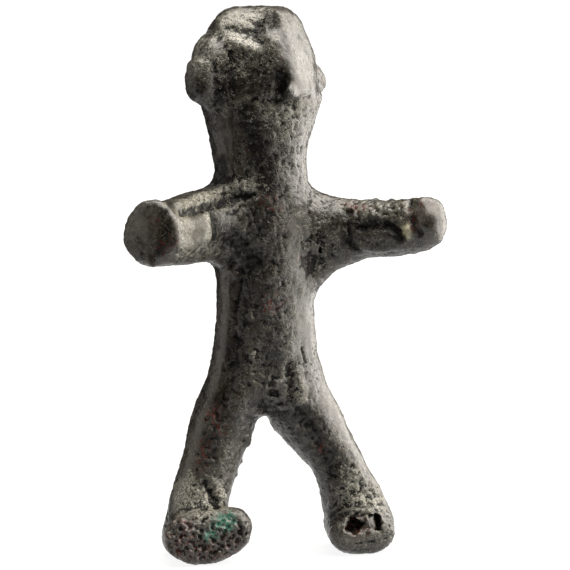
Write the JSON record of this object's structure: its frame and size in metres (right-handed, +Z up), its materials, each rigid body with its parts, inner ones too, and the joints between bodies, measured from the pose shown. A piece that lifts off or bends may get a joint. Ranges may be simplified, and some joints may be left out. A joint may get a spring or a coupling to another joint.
{
  "type": "votive figurine",
  "caption": "Small solid-cast bronze votive figurine of a standing man with outstretched arms, an abstract beaked head and spread legs, with a worn dark patina.",
  "frame": {"origin": "on the ground under the soles, in the middle of the figure's box", "axes": "+Z up through the crown, -Y the way the chest faces, +X towards the figure's left hand"},
  "size_m": [0.035, 0.0188, 0.0592],
  "materials": {
    "bronze_patina": "old cast bronze with a near-black brown patina, satin, with rough crust and small green and red-brown spots"
  },
  "bodies": {
    "root": {"figurine": "bronze_patina"}
  },
  "joints": []
}
